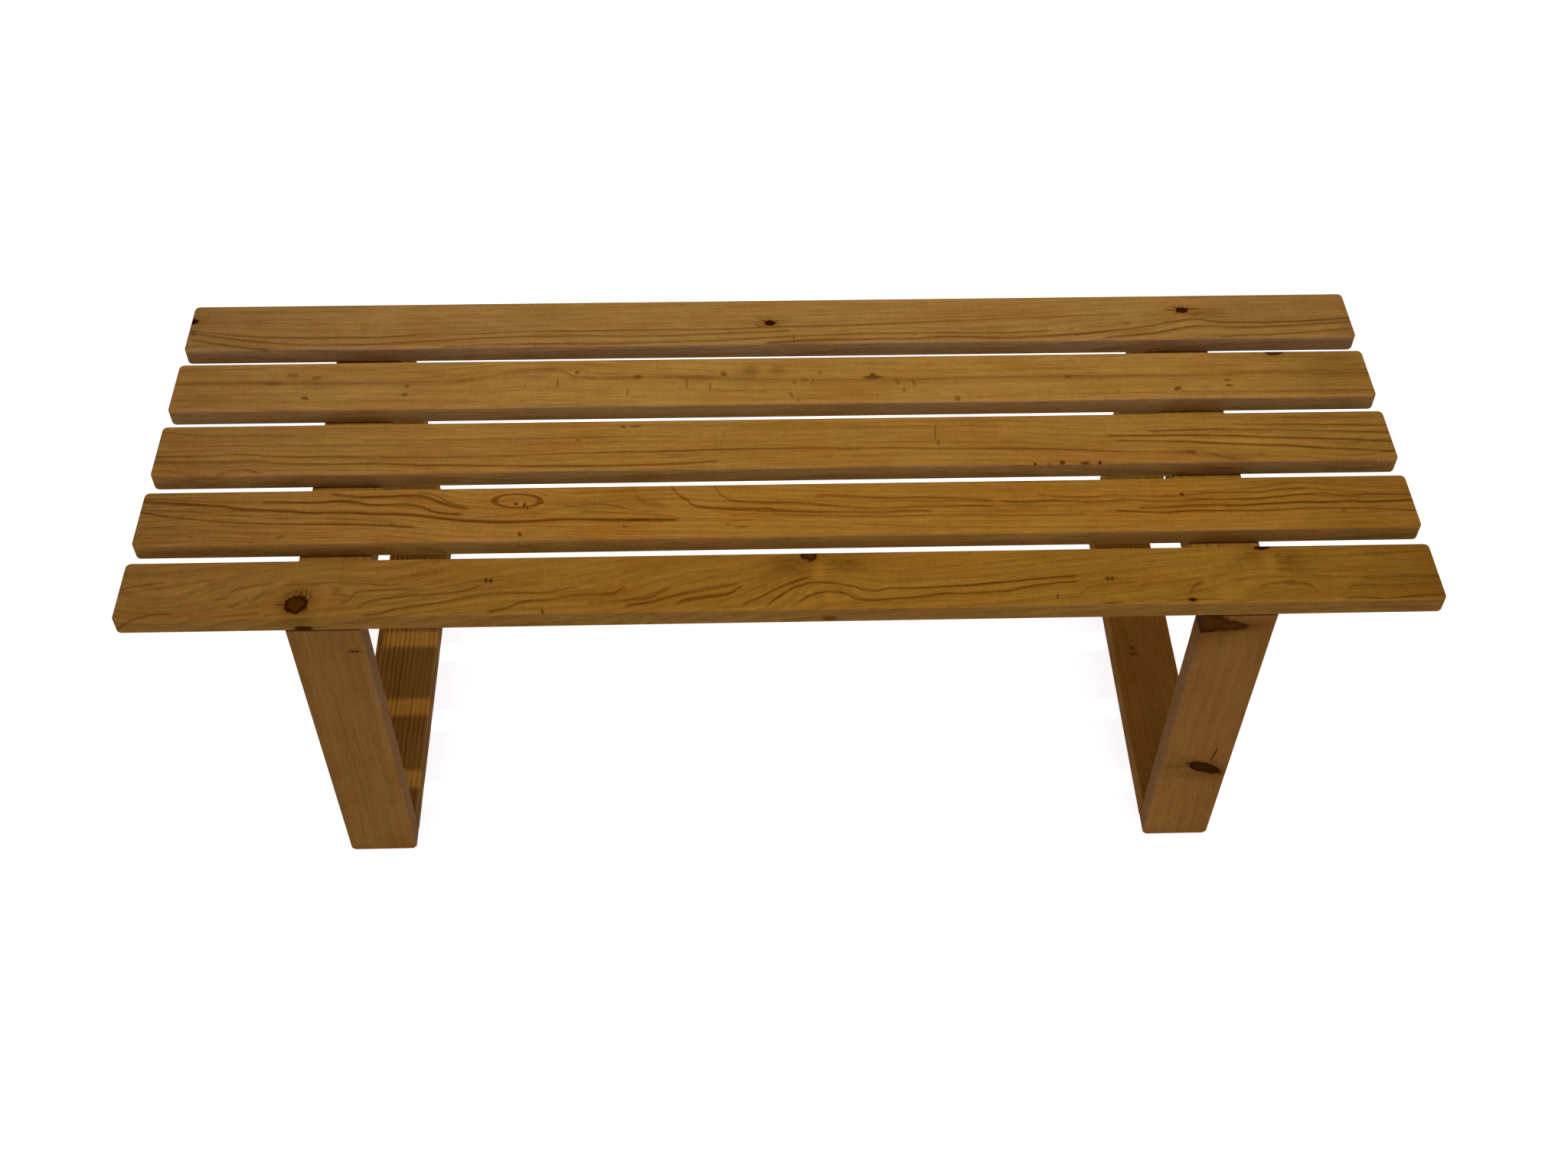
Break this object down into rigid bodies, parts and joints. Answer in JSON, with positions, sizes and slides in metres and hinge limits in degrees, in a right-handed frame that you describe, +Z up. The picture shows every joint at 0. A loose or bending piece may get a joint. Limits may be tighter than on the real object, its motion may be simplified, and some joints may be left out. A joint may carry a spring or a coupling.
{
  "type": "slatted bench",
  "caption": "Low bench with a flat seat of parallel wooden slats, fixed on two closed rectangular board frames that stand on the floor.",
  "frame": {"origin": "on the floor, in the middle of the bench, below the centre of the seat", "axes": "+X runs along the slats, +Y points from the front of the bench to its rear, +Z is up"},
  "size_m": [1.24, 0.436, 0.395],
  "materials": {
    "slat_pine": "clear lacquer over honey-coloured pine, satin",
    "frame_pine": "clear lacquer over honey-coloured pine, satin",
    "dowel_beech": "bare beech",
    "screw_steel": "zinc plated"
  },
  "bodies": {
    "root": {"seat_slat_1": "slat_pine", "seat_slat_2": "slat_pine", "seat_slat_3": "slat_pine", "seat_slat_4": "slat_pine", "seat_slat_5": "slat_pine", "left_top_rail": "frame_pine", "left_floor_rail": "frame_pine", "left_front_leg": "frame_pine", "left_rear_leg": "frame_pine", "right_top_rail": "frame_pine", "right_floor_rail": "frame_pine", "right_front_leg": "frame_pine", "right_rear_leg": "frame_pine", "left_front_top_dowels": "dowel_beech", "left_front_floor_dowels": "dowel_beech", "left_rear_top_dowels": "dowel_beech", "left_rear_floor_dowels": "dowel_beech", "right_front_top_dowels": "dowel_beech", "right_front_floor_dowels": "dowel_beech", "right_rear_top_dowels": "dowel_beech", "right_rear_floor_dowels": "dowel_beech", "slat_1_screws": "screw_steel", "slat_2_screws": "screw_steel", "slat_3_screws": "screw_steel", "slat_4_screws": "screw_steel", "slat_5_screws": "screw_steel"}
  },
  "joints": []
}
